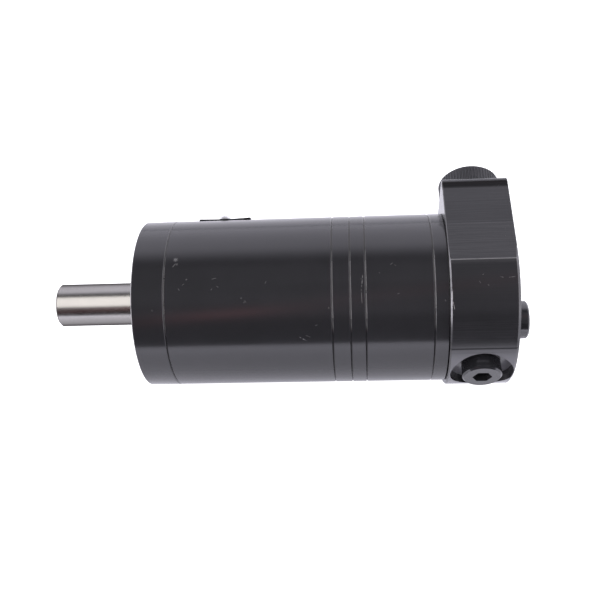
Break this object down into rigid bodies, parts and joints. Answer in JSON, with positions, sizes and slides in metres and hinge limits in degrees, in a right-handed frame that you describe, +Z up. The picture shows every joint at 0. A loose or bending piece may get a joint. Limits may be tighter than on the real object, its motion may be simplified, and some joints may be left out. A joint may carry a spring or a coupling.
{
  "type": "hydraulic motor",
  "caption": "Compact orbital hydraulic motor: round black sectioned body, plain cylindrical output shaft, squared rear cover with two capped side ports and screw plugs",
  "frame": {"origin": "on the motor axis, in the plane of the front mounting face, at the centre of the circle of mounting holes", "axes": "X along the motor axis with the output shaft towards -X and the port cover towards +X, +Y out of the two ports, +Z up with the motor lying on its round body"},
  "size_m": [0.174, 0.0741, 0.0636],
  "materials": {
    "black_paint": "satin black enamel over machined steel",
    "plug_black": "black oxide",
    "bright_steel": "ground bright",
    "dark_steel": "black oxide",
    "bearing_steel": "hardened and ground",
    "rubber": "matte",
    "bronze": "machined",
    "copper": "soft annealed",
    "cap_plastic": "moulded black",
    "plate_black": "black lacquered sheet",
    "rivet_steel": "bright"
  },
  "bodies": {
    "motor": {"front_cover": "black_paint", "front_cover_screws": "dark_steel", "dust_seal": "rubber", "shaft_seal": "rubber", "seal_backup_ring": "bearing_steel", "front_cover_o_ring": "rubber", "thrust_washer_front": "bearing_steel", "main_housing": "black_paint", "housing_o_ring": "rubber", "spacer_plate": "black_paint", "spacer_o_ring": "rubber", "channel_plate": "black_paint", "channel_o_ring": "rubber", "stator_ring": "black_paint", "stator_o_ring": "rubber", "wear_plate": "black_paint", "wear_plate_o_ring": "rubber", "port_cover": "black_paint", "assembly_bolts": "dark_steel", "bolt_washers": "copper", "drain_plug": "plug_black", "drain_plug_seal": "rubber", "rear_plug": "plug_black", "rear_plug_seal": "rubber", "name_plate": "plate_black", "name_plate_rivets": "rivet_steel"},
    "shaft": {"output_shaft": "bright_steel", "thrust_washer_rear": "bearing_steel"},
    "bearing_cage": {"thrust_needle_cage": "bronze", "thrust_needles": "bearing_steel"},
    "orbit": {"drive_spacer": "bearing_steel"},
    "orbiting_rotor": {"rotor": "bearing_steel"},
    "coupling_shaft": {"drive_shaft": "bearing_steel"},
    "ball_a": {"check_ball_a": "bearing_steel"},
    "ball_b": {"check_ball_b": "bearing_steel"},
    "cap_a": {"port_cap_a": "cap_plastic", "port_cap_a_seal": "rubber"},
    "cap_b": {"port_cap_b": "cap_plastic", "port_cap_b_seal": "rubber"}
  },
  "joints": [
    {"name": "shaft_spin", "type": "hinge", "parent": "motor", "child": "shaft", "pos_m": [0, 0, 0], "axis": [1, 0, 0], "continuous": true},
    {"name": "bearing_cage_spin", "type": "hinge", "parent": "motor", "child": "bearing_cage", "pos_m": [0, 0, 0], "axis": [1, 0, 0], "continuous": true},
    {"name": "rotor_orbit", "type": "hinge", "parent": "motor", "child": "orbit", "pos_m": [0, 0, 0], "axis": [1, 0, 0], "continuous": true},
    {"name": "rotor_spin", "type": "hinge", "parent": "orbit", "child": "orbiting_rotor", "pos_m": [0.0921, 0.00175, 0], "axis": [1, 0, 0], "continuous": true},
    {"name": "coupling_shaft_spin", "type": "hinge", "parent": "orbit", "child": "coupling_shaft", "pos_m": [0.0265, 0, 0], "axis": [0.9996, 0.0266, 0], "continuous": true},
    {"name": "check_ball_a_lift", "type": "slide", "parent": "motor", "child": "ball_a", "axis": [1, 0, 0], "range_m": [0, 0.0028]},
    {"name": "check_ball_b_lift", "type": "slide", "parent": "motor", "child": "ball_b", "axis": [1, 0, 0], "range_m": [0, 0.0028]},
    {"name": "port_cap_a_pull", "type": "slide", "parent": "motor", "child": "cap_a", "axis": [0, 1, 0], "range_m": [0, 0.06]},
    {"name": "port_cap_b_pull", "type": "slide", "parent": "motor", "child": "cap_b", "axis": [0, 1, 0], "range_m": [0, 0.06]}
  ],
  "couplings": [
    {"joint": "bearing_cage_spin", "follows": "shaft_spin", "ratio": 0.5},
    {"joint": "rotor_orbit", "follows": "shaft_spin", "ratio": -6},
    {"joint": "rotor_spin", "follows": "shaft_spin", "ratio": 7},
    {"joint": "coupling_shaft_spin", "follows": "shaft_spin", "ratio": 7}
  ]
}
